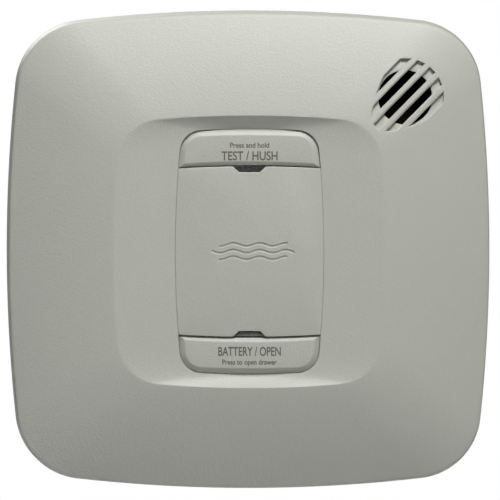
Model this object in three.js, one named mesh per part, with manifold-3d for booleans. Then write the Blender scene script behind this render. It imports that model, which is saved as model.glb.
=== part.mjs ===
// Wall-mounted carbon monoxide alarm, mains powered with a 9 V backup battery.
// Modelled in a face frame (x right, y up, z out of the wall, z = 0 on the wall),
// then the whole group is turned so that +Z is up and the front looks along -Y.
// All lengths are millimetres.
import * as THREE from 'three';
import { mergeVertices } from 'three/addons/utils/BufferGeometryUtils.js';
import Module from 'manifold-3d';

const wasm = await Module();
wasm.setup();

// ---- driving dimensions ---------------------------------------------------
const GAP = 0.3;                    // clearance between neighbouring pieces
const WALL = 2.2;                   // moulded wall of the cover and the housing
const SIDE_STEPS = 9;               // points on each side arc of an outline
const CORNER_STEPS = 8;             // points on each corner arc of an outline
const ROUND = 24;                   // sides of a round piece

// half width, half height, radius of the left and right sides, radius of the
// top and bottom sides, corner radius
const OUTER = { w: 76.2, h: 75.3, rx: 499, ry: 478, corner: 21.8 };
const RECESS = { w: 42.7, h: 42.7, rx: 330, ry: 330, corner: 14 };
const OPENING = { w: 23.6, h: 38.65, rx: 335, ry: 345, corner: 7.2 };

const Z_PLATE = 2.4;                // front of the mounting plate
const Z_HOUSING = Z_PLATE + GAP;    // back of the rear housing
const Z_PARTING = 14;               // joint between rear housing and cover
const Z_SHOULDER = 32.2;            // top of the cover's side wall
const Z_PANEL = 42.1;               // face of the battery door
const Z_RIDGE = 44;                 // ridge round the recess, the front-most line
const RAMP_DIP = 1.2;               // the ramps above and below start this far behind the door
const RAMP_HOLLOW = 0.45;           // how hollow they are
const Z_COLLAR = 37.9;              // inner end of the collar round the opening
const DOME_DROP = [6.6, 3.7];       // dome fall: linear and quadratic part
const DRAFT = 0.65;                 // taper of the cover's side wall
const BOARD = [11.6, 13.2];         // back and front of the circuit board
const BOARD_HALF = [66, 65];
const SCREWS = [[-63.5, 62.5], [63.5, 62.5], [-63.5, -62.5], [63.5, -62.5]];
const BOARD_SCREWS = [[-52, 40], [22, 58], [-34, -58], [58, -24]];

const DOOR_EDGE = [26.9, 26.2];     // door's end edge: at the middle, at the sides
const BUTTON = [38.9, 42.5];        // back and front of a button cap
const NOTCH = { wide: 5.15, narrow: 3.25, deep: 1.8 };
const SHELF = [34.6, 36.6];         // button shelf of the inner frame
const WELL = { x: 15.05, low: -25.9, high: 27.2, floor: 15.5, wall: 1.5 };
const TRAY = { x: 14.75, low: -25.5, high: 24.4, z: 20 };
const BATTERY = { w: 26.5, h: 46.4, d: 17.5, y: -0.7, z: 21.5 };

const GRILLE = { x: 48.85, y: 48.25, pitch: 4.2, slot: 2.28, up: 12.2, down: 13.1, half: 9.5 };
const HORN = { r: 13.5, tilt: 13, hole: 8.5 };
const INLET = { w: 26, h: 14, y: 18 };
const PINS = [-7, 0, 7];            // x of the three inlet pins
// twist-lock hooks: circle, places, half widths of stem and head, half angle, turn to unlock
const HOOKS = { r: 52, angles: [90, 210, 330], stem: 1.3, head: 2.9, half: 3.5, twist: 15 };

// ---- solids: closed geometries, joined and cut ----------------------------
function signedVolume(geometry) {
  const { index, attributes: { position } } = geometry;
  const [a, b, c] = [new THREE.Vector3(), new THREE.Vector3(), new THREE.Vector3()];
  let sum = 0;
  for (let corner = 0; corner < index.count; corner += 3) {
    a.fromBufferAttribute(position, index.getX(corner));
    b.fromBufferAttribute(position, index.getX(corner + 1));
    c.fromBufferAttribute(position, index.getX(corner + 2));
    sum += a.dot(b.cross(c)) / 6;
  }
  return sum;
}

// Shared vertices merged, collapsed triangles dropped, faces pointing out.
function closed(geometry) {
  const bare = geometry.clone();
  bare.deleteAttribute('normal');
  bare.deleteAttribute('uv');
  const merged = mergeVertices(bare, 1e-4);
  const corners = merged.index.array;
  const kept = [];
  for (let corner = 0; corner < corners.length; corner += 3) {
    const [i, j, k] = corners.slice(corner, corner + 3);
    if (i !== j && j !== k && k !== i) kept.push(i, j, k);
  }
  merged.setIndex(kept);
  if (signedVolume(merged) < 0) merged.setIndex(kept.reverse());
  return merged;
}

function toSolid(geometry) {
  const merged = closed(geometry);
  return new wasm.Manifold(new wasm.Mesh({
    numProp: 3,
    vertProperties: merged.attributes.position.array,
    triVerts: new Uint32Array(merged.index.array),
  }));
}

function toGeometry(solid) {
  const mesh = solid.getMesh();
  const geometry = new THREE.BufferGeometry();
  geometry.setAttribute('position', new THREE.BufferAttribute(mesh.vertProperties, 3));
  geometry.setIndex(new THREE.BufferAttribute(mesh.triVerts, 1));
  return geometry;
}

function join(...geometries) {
  return toGeometry(geometries.map(toSolid).reduce((sum, part) => sum.add(part)));
}

function cut(geometry, ...tools) {
  return toGeometry(tools.map(toSolid).reduce((rest, tool) => rest.subtract(tool), toSolid(geometry)));
}

// ---- outlines: four side arcs and four corner arcs, all tangent ------------
function inset(outline, distance) {
  return {
    w: outline.w - distance,
    h: outline.h - distance,
    rx: outline.rx - distance,
    ry: outline.ry - distance,
    corner: Math.max(outline.corner - distance, 0.4),
  };
}

function cornerCentre({ w, h, rx, ry, corner }) {
  let x = w - corner;
  let y = h - corner;
  for (let pass = 0; pass < 20; pass += 1) {
    x = w - rx + Math.sqrt((rx - corner) ** 2 - y ** 2);
    y = h - ry + Math.sqrt((ry - corner) ** 2 - x ** 2);
  }
  return { x, y };
}

// Points of one outline, anticlockwise from the lower end of the right side.
function outlinePoints(outline) {
  const { w, h, rx, ry, corner } = outline;
  const centre = cornerCentre(outline);
  const side = Math.atan2(centre.y, centre.x - (w - rx));
  const top = Math.atan2(centre.x, centre.y - (h - ry));
  const quarter = [];
  const arc = (cx, cy, radius, from, to, steps) => {
    for (let step = 0; step < steps; step += 1) {
      const angle = from + (to - from) * step / steps;
      quarter.push(new THREE.Vector2(cx + radius * Math.cos(angle), cy + radius * Math.sin(angle)));
    }
  };
  arc(w - rx, 0, rx, -side, side, SIDE_STEPS);
  arc(centre.x, centre.y, corner, side, Math.PI / 2 - top, CORNER_STEPS);
  arc(0, h - ry, ry, Math.PI / 2 - top, Math.PI / 2 + top, SIDE_STEPS);
  arc(-centre.x, centre.y, corner, Math.PI / 2 + top, Math.PI - side, CORNER_STEPS);
  return [...quarter, ...quarter.map((point) => point.clone().negate())];
}

const ringAt = (outline, z) => outlinePoints(outline).map((p) => new THREE.Vector3(p.x, p.y, z));
const shapeOf = (outline) => new THREE.Shape(outlinePoints(outline));

// A lathe whose rings are pulled out to the outlines: a skin through closed
// rings, which ends where it starts.
function skinThrough(rings) {
  const loop = [...rings, rings[0]];
  const columns = rings[0].length;
  const profile = loop.map((ring, row) => new THREE.Vector2(1 + row, row));
  const geometry = new THREE.LatheGeometry(profile, columns);
  const position = geometry.attributes.position;
  for (let column = 0; column <= columns; column += 1) {
    loop.forEach((ring, row) => {
      const point = ring[column % columns];
      position.setXYZ(column * loop.length + row, point.x, point.y, point.z);
    });
  }
  return geometry;
}

// ---- plain shapes in the face frame ----------------------------------------
function block(x0, x1, y0, y1, z0, z1) {
  const geometry = new THREE.BoxGeometry(x1 - x0, y1 - y0, z1 - z0);
  return geometry.translate((x0 + x1) / 2, (y0 + y1) / 2, (z0 + z1) / 2);
}

function slab(shape, z0, z1) {
  const options = { depth: z1 - z0, bevelEnabled: false, curveSegments: 6 };
  return new THREE.ExtrudeGeometry(shape, options).translate(0, 0, z0);
}

function turned(profile, sides = ROUND) {
  const points = profile.map(([radius, height]) => new THREE.Vector2(radius, height));
  return new THREE.LatheGeometry(points, sides).rotateX(Math.PI / 2);
}

// LatheGeometry turns about y; after rotateX its height runs out of the wall.
function post(x, y, radius, z0, z1, sides = ROUND) {
  return turned([[0, z0], [radius, z0], [radius, z1], [0, z1]], sides).translate(x, y, 0);
}

function polygon(points) {
  return new THREE.Shape(points.map(([x, y]) => new THREE.Vector2(x, y)));
}

function sector(inner, outer, from, to, steps = 6) {
  const points = [];
  for (let step = 0; step <= steps; step += 1) {
    const angle = THREE.MathUtils.degToRad(from + (to - from) * step / steps);
    points.push([outer * Math.cos(angle), outer * Math.sin(angle)]);
    points.unshift([inner * Math.cos(angle), inner * Math.sin(angle)]);
  }
  return polygon(points);
}

class Helix extends THREE.Curve {
  constructor(radius, length, turns) {
    super();
    Object.assign(this, { radius, length, turns });
  }

  getPoint(t) {
    const angle = 2 * Math.PI * this.turns * t;
    const { radius, length } = this;
    return new THREE.Vector3(radius * Math.cos(angle), radius * Math.sin(angle), length * t);
  }
}

// A compression spring along z, standing on z = 0.
function spring(radius, wire, length, turns) {
  const ring = new THREE.Shape(new THREE.EllipseCurve(0, 0, wire / 2, wire / 2).getPoints(5));
  const path = new Helix(radius, length - wire, turns);
  const options = { steps: Math.round(turns * 9), extrudePath: path, bevelEnabled: false };
  return new THREE.ExtrudeGeometry(ring, options).translate(0, 0, wire / 2);
}

// ---- cover ------------------------------------------------------------------
const openingRing = outlinePoints(OPENING);
const ridgeRing = outlinePoints(RECESS);
const shoulderRing = outlinePoints(inset(OUTER, DRAFT + 0.6));

// Recess floor: a straight slope at the sides, a hollow ramp above and below.
function floorRing(t) {
  return openingRing.map((inner, k) => {
    const outer = ridgeRing[k];
    const near = 1 - THREE.MathUtils.smoothstep(inner.distanceTo(outer), 4, 18);
    const hollow = RAMP_HOLLOW * near;
    const rise = (1 - hollow) * t + hollow * t * t;
    const start = Z_PANEL - RAMP_DIP * near;
    const point = inner.clone().lerp(outer, t);
    return new THREE.Vector3(point.x, point.y, start + (Z_RIDGE - start) * rise);
  });
}

function domeRing(t, drop) {
  const z = Z_RIDGE - drop - DOME_DROP[0] * t - DOME_DROP[1] * t * t;
  return ridgeRing.map((inner, k) => {
    const point = inner.clone().lerp(shoulderRing[k], t);
    return new THREE.Vector3(point.x, point.y, z);
  });
}

function coverShell() {
  const collar = inset(OPENING, -1.4);
  return skinThrough([
    ringAt(OPENING, Z_COLLAR),
    floorRing(0),
    floorRing(0.5),
    ...[0, 0.2, 0.4, 0.6, 0.8, 1].map((t) => domeRing(t, 0)),
    ringAt(inset(OUTER, DRAFT + 0.18), Z_SHOULDER + 0.9),
    ringAt(inset(OUTER, DRAFT), Z_SHOULDER),
    ringAt(OUTER, Z_PARTING + GAP),
    ringAt(inset(OUTER, WALL), Z_PARTING + GAP),
    ringAt(inset(OUTER, WALL + DRAFT), Z_SHOULDER - 1.2),
    ...[0.88, 0.5, 0].map((t) => domeRing(t, WALL + 0.1)),
    ringAt(collar, Z_PANEL - WALL),
    ringAt(collar, Z_COLLAR),
  ]);
}

// Grille slots run at 45 degrees. Their upper ends lie on a circle and their
// lower ends on a parabola, so the outer slots are short.
function grilleSlot(row) {
  const upper = (v) => Math.sqrt(GRILLE.up ** 2 - v ** 2);
  const lower = (v) => -GRILLE.down * (1 - (v / GRILLE.half) ** 2);
  const v0 = row * GRILLE.pitch - GRILLE.slot / 2;
  const v1 = row * GRILLE.pitch + GRILLE.slot / 2;
  const across = [v0, (v0 + v1) / 2, v1];
  const points = [
    ...across.map((v) => [lower(v), -v]),
    ...[v1, v0].map((v) => [upper(v), -v]),
  ];
  const slot = slab(polygon(points), Z_SHOULDER, Z_RIDGE + 1);
  return slot.rotateZ(Math.PI / 4).translate(GRILLE.x, GRILLE.y, 0);
}

function frontCover() {
  const bosses = SCREWS.map(([x, y]) => post(x, y, 2.9, Z_PARTING + GAP, 34.4, 14));
  const pilots = SCREWS.map(([x, y]) => post(x, y, 1.55, Z_PARTING - 1, 27, 10));
  const slots = [-2, -1, 0, 1, 2].map(grilleSlot);
  return cut(join(coverShell(), ...bosses), ...pilots, ...slots);
}

// ---- rear housing and mounting plate ------------------------------------------
function housingWall() {
  return skinThrough([
    ringAt(inset(OUTER, 3.6), Z_HOUSING),
    ringAt(inset(OUTER, 1.4), Z_HOUSING + 2.2),
    ringAt(inset(OUTER, 0.5), Z_PARTING),
    ringAt(inset(OUTER, 2.7), Z_PARTING),
    ringAt(inset(OUTER, 3.7), Z_HOUSING + 2.8),
    ringAt(inset(OUTER, 6), Z_HOUSING + WALL),
    ringAt(inset(OUTER, 6), Z_HOUSING),
  ]);
}

function sideVents() {
  const vents = [];
  for (let step = -4; step <= 4; step += 1) {
    const [near, far] = [step * 6 - 1.2, step * 6 + 1.2];
    for (const [low, high] of [[69, 79], [-79, -69]]) {
      vents.push(block(low, high, near, far, 7.6, 11.4));
      vents.push(block(near, far, low, high, 7.6, 11.4));
    }
  }
  return vents;
}

function hookSlots() {
  const { r, angles, half, twist } = HOOKS;
  return angles.flatMap((angle) => [
    slab(sector(r - 1.75, r + 1.75, angle - twist - half - 1, angle + half + 1, 10), 2, 6),
    slab(sector(r - 3.5, r + 3.5, angle - twist - half - 1.4, angle - twist + half + 1), 2, 6),
  ]);
}

function rearHousing() {
  const floor = slab(shapeOf(inset(OUTER, 5.4)), Z_HOUSING, Z_HOUSING + WALL);
  const bosses = SCREWS.map(([x, y]) => post(x, y, 3.5, Z_HOUSING + 1, Z_PARTING - GAP, 14));
  const standoffs = BOARD_SCREWS.map(([x, y]) => post(x, y, 2.8, 4, BOARD[0] - GAP, 12));
  const bores = SCREWS.map(([x, y]) => post(x, y, 1.6, 2, 15, 10));
  const sinks = SCREWS.map(([x, y]) => post(x, y, 2.9, 2, 5.2, 14));
  const pilots = BOARD_SCREWS.map(([x, y]) => post(x, y, 1.2, 6, 12, 8));
  const inlet = block(-INLET.w / 2 - GAP, INLET.w / 2 + GAP,
    INLET.y - INLET.h / 2 - GAP, INLET.y + INLET.h / 2 + GAP, 2, 6);
  return cut(join(housingWall(), floor, ...bosses, ...standoffs),
    ...bores, ...sinks, ...pilots, inlet, ...hookSlots(), ...sideVents());
}

function mountingPlate() {
  const plate = slab(shapeOf({ w: 62, h: 62, rx: 900, ry: 900, corner: 16 }), 0, Z_PLATE);
  const { r, angles, stem, head, half } = HOOKS;
  const hooks = angles.flatMap((angle) => [
    slab(sector(r - stem, r + stem, angle - half, angle + half, 4), 1, 6.9),
    slab(sector(r - head, r + head, angle - half, angle + half, 4), 5.3, 6.9),
  ]);
  const windows = [1, -1].map((side) => block(-23, 23, Math.min(8 * side, 32 * side),
    Math.max(8 * side, 32 * side), -1, 3));
  const slots = [41.65, -41.65].map((y) => block(-6, 6, y - 2.3, y + 2.3, -1, 3));
  const sideSlots = [44.45, -44.45].map((x) => block(x - 2.3, x + 2.3, -6, 6, -1, 3));
  return cut(join(plate, ...hooks), ...windows, ...slots, ...sideSlots);
}

// ---- battery door, buttons, tray and inner frame -------------------------------
const bodyRing = outlinePoints(inset(OPENING, GAP));
const sideAt = (y) => OPENING.w - GAP - y ** 2 / (2 * OPENING.rx);
const edgeAt = (x) => DOOR_EDGE[0] - (DOOR_EDGE[0] - DOOR_EDGE[1]) * (x / 23.45) ** 2;

// Points of the arched edge between a button and the door, from x0 to x1.
function archPoints(x0, x1, offset, steps = 6) {
  return Array.from({ length: steps + 1 }, (_, step) => {
    const x = x0 + (x1 - x0) * step / steps;
    return new THREE.Vector2(x, edgeAt(x) + offset);
  });
}

function doorHalf() {
  const offset = -GAP / 2;
  const top = DOOR_EDGE[0] + offset - NOTCH.deep;
  const side = bodyRing.filter(({ x, y }) => x > 20 && Math.abs(y) < 25);
  const corner = sideAt(DOOR_EDGE[1]);
  return [
    ...side,
    ...archPoints(corner, NOTCH.wide, offset, 4),
    new THREE.Vector2(NOTCH.narrow, top),
    new THREE.Vector2(-NOTCH.narrow, top),
    ...archPoints(-NOTCH.wide, -corner, offset, 4),
  ];
}

function batteryDoor() {
  const half = doorHalf();
  const shape = new THREE.Shape([...half, ...half.map((point) => point.clone().negate())]);
  return slab(shape, Z_PANEL - WALL, Z_PANEL);
}

// Cap outline of the upper button: barrel outline above, arched edge below.
function capShape() {
  const upper = bodyRing.filter(({ y }) => y > DOOR_EDGE[0] + 0.6);
  const corner = sideAt(DOOR_EDGE[1]);
  return new THREE.Shape([...upper, ...archPoints(-corner, corner, GAP / 2)]);
}

function buttonCap() {
  const bevel = 1.5;
  const options = {
    depth: BUTTON[1] - BUTTON[0],
    bevelSize: bevel,
    bevelOffset: -bevel,
    bevelThickness: 1.2,
    bevelSegments: 1,
  };
  const body = new THREE.ExtrudeGeometry(capShape(), options).translate(0, 0, BUTTON[0] - 1.2);
  const back = block(-30, 30, 20, 45, BUTTON[0] - 5, BUTTON[0]);
  const hollow = block(-20, 20, 28.8, 36.6, BUTTON[0] - 1, BUTTON[1] - 1.6);
  return cut(body, back, hollow);
}

function testButton() {
  return join(buttonCap(), block(-3, 3, 31.2, 34.2, 24.3, BUTTON[1] - 1));
}

// The wedge on the stem pushes the latch slide sideways as the button goes in.
function ejectButton() {
  const cap = buttonCap().rotateZ(Math.PI);
  const wedge = polygon([[-35.5, 41.5], [-35.5, 31.8], [-34, 30.3], [-32.5, 30.3], [-32.5, 41.5]]);
  const stem = slab(wedge, -4.5, 4.5);
  return join(cap, stem.rotateY(Math.PI / 2).rotateX(Math.PI / 2));
}

function latchSlide() {
  const plan = polygon([
    [-12, -38.9], [12, -38.9], [12, -24.6], [8, -24.6], [8, -35.9],
    [-8, -35.9], [-8, -24.6], [-12, -24.6],
  ]);
  const ramp = slab(polygon([[-35.8, 31.6], [-38.1, 33.9], [-38.1, 35], [-35.8, 35]]), -7.9, 7.9);
  return cut(slab(plan, 31.5, 33.9), ramp.rotateY(Math.PI / 2).rotateX(Math.PI / 2));
}

function innerFrame() {
  const { x, low, high, floor, wall } = WELL;
  const shelf = slab(shapeOf({ w: 26, h: 47.5, rx: 400, ry: 400, corner: 6 }), ...SHELF);
  const outside = block(-x - wall, x + wall, low - wall, high + wall, floor, SHELF[1] - 0.5);
  const feet = [-1, 1].flatMap((sx) => [low + 3, high - 3].map((y) => (
    post(sx * (x - 2), y, 2, BOARD[1] + GAP, floor + 0.5, 10))));
  const guides = [-13, 7].map((left) => block(left, left + 6, -40.5, low - 0.5, 29.2, 31.2));
  const lug = block(-5, 5, -47, -45.6, 29.2, SHELF[0] + 0.5);
  const inside = block(-x, x, low, high, floor + wall, SHELF[1] + 1);
  const testHole = block(-3.8, 3.8, 30.4, 35, SHELF[0] - 1, SHELF[1] + 1);
  const ejectHole = block(-5.3, 5.3, -36.4, -31.6, SHELF[0] - 1, SHELF[1] + 1);
  const noses = [-12.5, 7.5].map((left) => block(left, left + 5, -29, -25, 31.2, 34.3));
  const lamps = [-26, 26].map((y) => post(0, y, 1.9, 32, 38, 12));
  return cut(join(shelf, outside, ...feet, ...guides, lug),
    inside, testHole, ejectHole, ...noses, ...lamps);
}

function batteryTray() {
  const { x, low, high, z } = TRAY;
  const top = Z_PANEL - WALL - GAP;
  const body = block(-x, x, low, high, z, top);
  const room = block(-x + 1.2, x + 1, low + 1.2, high + 1, z + 1.2, top + 1);
  const catches = [-12.4, 7.6].map((left) => block(left, left + 4.8, low - 1, low + 1.3, z - 1, 34.5));
  const lampPath = block(-5.2, 5.2, low - 1, low + 1.4, z - 1, top + 1);
  return cut(body, room, ...catches, lampPath);
}

// ---- battery and its contacts ---------------------------------------------------
function battery() {
  const { w, h, d, y, z } = BATTERY;
  const outline = shapeOf({ w: w / 2, h: d / 2, rx: 900, ry: 900, corner: 2 });
  return slab(outline, 0, h).rotateX(-Math.PI / 2).translate(0, y - h / 2, z + d / 2);
}

function batteryTerminal(x, radius) {
  const y = BATTERY.y + BATTERY.h / 2;
  const stud = post(0, 0, radius, 0, 1.8, 12).rotateX(-Math.PI / 2);
  return stud.translate(x, y + 0.1, BATTERY.z + BATTERY.d / 2);
}

// A bent leaf of spring steel, fixed to the well's upper wall.
function batteryContact(x) {
  const leaf = polygon([
    [26.8, 19], [26.8, 24], [25.1, 27], [25.1, 33], [26.6, 35.6],
    [26.9, 35.2], [25.5, 32.8], [25.5, 27.2], [27.1, 24.2], [27.1, 19],
  ]);
  return slab(leaf, -2.5, 2.5).rotateY(Math.PI / 2).rotateX(Math.PI / 2).translate(x, -0.2, 0);
}

// ---- circuit board and what stands on it -------------------------------------------
const boardTop = BOARD[1] + GAP;

function circuitBoard() {
  const [w, h] = BOARD_HALF;
  const board = slab(shapeOf({ w, h, rx: 3000, ry: 3000, corner: 18 }), ...BOARD);
  return cut(board, ...BOARD_SCREWS.map(([x, y]) => post(x, y, 1.3, 11, 14, 10)));
}

function testSwitch() {
  return join(block(-3, 3, 29.7, 35.7, boardTop, 20.2), block(-4, 4, 30.2, 35.2, boardTop, 14.5));
}

function switchPlunger() {
  return post(0, 32.7, 1.7, 20.5, 23, 14);
}

function coSensor() {
  const profile = [[0, 0], [10, 0], [10, 1], [9.6, 1.4], [9.6, 14], [9, 15], [5, 15], [4.6, 16], [0, 16]];
  return turned(profile).translate(-44, 12, boardTop);
}

function microcontroller() {
  const legs = Array.from({ length: 7 }, (_, leg) => (
    block(-43.5, -28.5, -27 + leg * 1.6, -26.4 + leg * 1.6, boardTop, boardTop + 0.7)));
  return join(block(-42, -30, -28, -16, boardTop + 0.4, boardTop + 2.2), ...legs);
}

function filterCapacitor() {
  const outline = shapeOf({ w: 9, h: 5, rx: 900, ry: 900, corner: 1 });
  return slab(outline, boardTop, boardTop + 15).translate(44, -45, 0);
}

function storageCapacitor() {
  const profile = [[0, 0], [4.8, 0], [5, 0.5], [5, 1.6], [4.6, 2], [5, 2.4], [5, 13.4], [4.6, 14], [0, 14]];
  return turned(profile).translate(31, -24, boardTop);
}

function varistor() {
  const disc = post(0, 0, 5.5, -1.8, 1.8, 20).rotateX(Math.PI / 2).translate(44, -57, boardTop + 7);
  const leads = [-2.5, 2.5].map((x) => post(44 + x, -57, 0.4, boardTop, boardTop + 4, 6));
  return join(disc, ...leads);
}

function lamp(y) {
  const dome = [[0, 32.5], [1.5, 32.5], [1.5, 33.1], [1.35, 33.1], [1.35, 35.8], [0.95, 36.6], [0, 36.9]];
  return turned(dome, 14).translate(0, y, 0);
}

// Smoked window in the door's notch, standing in front of a lamp.
function lens() {
  const top = DOOR_EDGE[0] - 0.25;
  const bottom = DOOR_EDGE[0] - NOTCH.deep + 0.15;
  const shape = polygon([
    [-NOTCH.narrow + 0.1, bottom], [NOTCH.narrow - 0.1, bottom],
    [NOTCH.wide - 0.55, top], [-NOTCH.wide + 0.55, top],
  ]);
  return slab(shape, 37.4, Z_PANEL - 0.9);
}

// ---- horn, on an axis that leans with the dome ---------------------------------------
// Heights are measured from the cover's outer face, inwards being negative.
function hornBaffle() {
  const { r, hole } = HORN;
  const profile = [[hole, -5.8], [r, -5.8], [r, -4.4], [r - 1.2, -4.4], [r - 1.2, -4.6], [hole, -4.6]];
  return turned([...profile, profile[0]], 32);
}

function hornHousing() {
  const r = HORN.r;
  return turned([
    [0, -17], [r, -17], [r, -6.1], [9.3, -6.1], [9.3, -7.2], [r - 1.2, -7.2], [r - 1.2, -15.8], [0, -15.8],
  ], 32);
}

function piezoDisc() {
  return turned([[0, -13.9], [11.9, -13.9], [11.9, -13.4], [8, -13.4], [8, -13.1], [0, -13.1]], 28);
}

function leaning(geometry) {
  const lean = THREE.MathUtils.degToRad(HORN.tilt);
  const axis = new THREE.Vector3(-1, 1, 0).normalize();
  geometry.applyMatrix4(new THREE.Matrix4().makeRotationAxis(axis, lean));
  return geometry.translate(GRILLE.x, GRILLE.y, 40.9);
}

// ---- mains inlet and fasteners --------------------------------------------------------
function inletHousing() {
  const { w, h, y } = INLET;
  const [back, front] = [Z_HOUSING + GAP, BOARD[0] - GAP];
  const body = block(-w / 2, w / 2, y - h / 2, y + h / 2, back, front);
  const room = block(-w / 2 + 1.4, w / 2 - 1.4, y - h / 2 + 1.6, y + h / 2 - 1.6, back - 1, 9.3);
  return cut(body, room, ...PINS.map((x) => post(x, y, 1.2, 9, 12, 10)));
}

function screw(x, y, seat, head, shaft, length, toFront) {
  const way = toFront ? 1 : -1;
  const profile = [
    [0, -1.7], [head * 0.75, -1.7], [head, -1.1], [head, 0], [shaft, 0], [shaft, length - 1], [0, length],
  ];
  const body = turned(profile.map(([radius, z]) => [radius, z * way]), 12);
  const recess = [block(-0.35, 0.35, -head * 0.6, head * 0.6, -0.9, 0.9),
    block(-head * 0.6, head * 0.6, -0.35, 0.35, -0.9, 0.9)];
  const drive = recess.map((bar) => bar.translate(0, 0, -way * 1.9));
  return cut(body, ...drive).translate(x, y, seat);
}

// ---- assembly ---------------------------------------------------------------------------
const cream = { color: 0xa9aaa3, roughness: 0.55, metalness: 0 };
const finishes = {
  cover: cream,
  housing: { ...cream, color: 0xa3a49d },
  inner: { color: 0xb8b8b0, roughness: 0.6, metalness: 0 },
  black: { color: 0x111214, roughness: 0.5, metalness: 0 },
  smoked: { color: 0x3a3733, roughness: 0.15, metalness: 0 },
  red: { color: 0xb3261e, roughness: 0.2, metalness: 0 },
  green: { color: 0x3f9a4a, roughness: 0.2, metalness: 0 },
  steel: { color: 0xb9bcc0, roughness: 0.3, metalness: 1 },
  brass: { color: 0xb08d4a, roughness: 0.3, metalness: 1 },
  board: { color: 0x1f5a37, roughness: 0.5, metalness: 0 },
  jacket: { color: 0x2b2d31, roughness: 0.35, metalness: 0 },
  yellow: { color: 0xc9a227, roughness: 0.45, metalness: 0 },
  blue: { color: 0x2d5f94, roughness: 0.4, metalness: 0 },
};

const alarm = new THREE.Group();

function add(name, finish, geometry) {
  const mesh = new THREE.Mesh(closed(geometry), new THREE.MeshStandardMaterial(finishes[finish]));
  mesh.name = name;
  alarm.add(mesh);
  return mesh;
}

function addSpring(name, x, y, radius, length) {
  const mesh = add(name, 'steel', spring(radius, 0.5, length, 3));
  mesh.position.set(x, y, SHELF[1] + GAP);
  return mesh;
}

add('mounting_plate', 'housing', mountingPlate());
add('rear_housing', 'housing', rearHousing());
add('front_cover', 'cover', frontCover());
add('inner_frame', 'inner', innerFrame());
add('battery_door', 'cover', batteryDoor());
add('battery_tray', 'inner', batteryTray());
add('battery', 'jacket', battery());
add('battery_terminal_positive', 'steel', batteryTerminal(6.35, 2.9));
add('battery_terminal_negative', 'steel', batteryTerminal(-6.35, 3.7));
add('battery_contact_positive', 'steel', batteryContact(6.35));
add('battery_contact_negative', 'steel', batteryContact(-6.35));
add('test_button', 'cover', testButton());
add('eject_button', 'cover', ejectButton());
add('latch_slide', 'inner', latchSlide());

const springLength = BUTTON[1] - 1.6 - SHELF[1] - 2 * GAP;
for (const [side, x] of [['left', -14], ['right', 14]]) {
  addSpring(`test_button_spring_${side}`, x, 32.7, 2.2, springLength);
  addSpring(`eject_button_spring_${side}`, x, -32.7, 2.2, springLength);
}
const latchSpring = add('latch_spring', 'steel', spring(1.7, 0.5, 6.2, 4));
latchSpring.rotation.x = -Math.PI / 2;
latchSpring.position.set(0, -45.4, 32.7);
const ejectorSpring = add('ejector_spring', 'steel', spring(6, 0.8, 2.5, 1.5));
ejectorSpring.position.set(0, 0, WELL.floor + WELL.wall + 0.2);

add('circuit_board', 'board', circuitBoard());
add('test_switch', 'black', testSwitch());
add('switch_plunger', 'yellow', switchPlunger());
add('co_sensor', 'steel', coSensor());
add('microcontroller', 'black', microcontroller());
add('filter_capacitor', 'yellow', filterCapacitor());
add('storage_capacitor', 'black', storageCapacitor());
add('varistor', 'blue', varistor());
add('alarm_lamp', 'red', lamp(26));
add('power_lamp', 'green', lamp(-26));
add('alarm_lens', 'smoked', lens());
add('power_lens', 'smoked', lens().rotateZ(Math.PI));
add('horn_baffle', 'cover', leaning(hornBaffle()));
add('horn_housing', 'black', leaning(hornHousing()));
add('piezo_disc', 'brass', leaning(piezoDisc()));
add('inlet_housing', 'black', inletHousing());
PINS.forEach((x, pin) => {
  add(`inlet_pin_${pin + 1}`, 'brass', post(x, INLET.y, 0.9, 4.2, BOARD[0] - GAP, 10));
});
SCREWS.forEach(([x, y], index) => {
  add(`cover_screw_${index + 1}`, 'steel', screw(x, y, 4.9, 2.5, 1.25, 20, true));
});
BOARD_SCREWS.forEach(([x, y], index) => {
  add(`board_screw_${index + 1}`, 'steel', screw(x, y, BOARD[1] + GAP, 2.4, 0.9, 6, false));
});

alarm.rotation.x = Math.PI / 2;

export default alarm;
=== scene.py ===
import math

import bmesh
import bpy
from mathutils import Matrix, Vector
from mathutils.bvhtree import BVHTree


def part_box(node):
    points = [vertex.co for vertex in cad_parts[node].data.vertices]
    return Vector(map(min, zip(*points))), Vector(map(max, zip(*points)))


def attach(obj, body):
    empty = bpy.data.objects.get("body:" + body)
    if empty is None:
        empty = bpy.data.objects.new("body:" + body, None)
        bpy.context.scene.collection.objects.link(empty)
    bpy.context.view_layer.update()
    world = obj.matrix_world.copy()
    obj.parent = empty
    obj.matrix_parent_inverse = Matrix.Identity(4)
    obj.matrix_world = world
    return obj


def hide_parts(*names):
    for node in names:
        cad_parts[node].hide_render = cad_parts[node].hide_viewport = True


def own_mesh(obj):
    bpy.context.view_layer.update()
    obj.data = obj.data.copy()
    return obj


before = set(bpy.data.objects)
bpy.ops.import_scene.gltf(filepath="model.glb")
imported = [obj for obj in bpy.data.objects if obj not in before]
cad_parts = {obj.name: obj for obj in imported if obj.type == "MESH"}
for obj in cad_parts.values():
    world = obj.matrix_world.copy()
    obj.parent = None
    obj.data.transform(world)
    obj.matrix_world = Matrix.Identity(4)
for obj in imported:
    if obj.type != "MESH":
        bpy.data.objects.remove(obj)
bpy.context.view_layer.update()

# A square carbon monoxide alarm on its mounting plate. Sizes are in millimetres as seen from the
# front: x to the right, up, and out from the wall. face() turns them into metres in the frame.
MM = 0.001


def face(x, up, out):
    return Vector((x, -out, up)) * MM


def span(node):
    """A CAD node's box seen from the front: (x, up, out) of its lowest and highest corner, in mm."""
    low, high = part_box(node)
    return (Vector((low.x, low.z, -high.y)) / MM, Vector((high.x, high.z, -low.y)) / MM)


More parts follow.
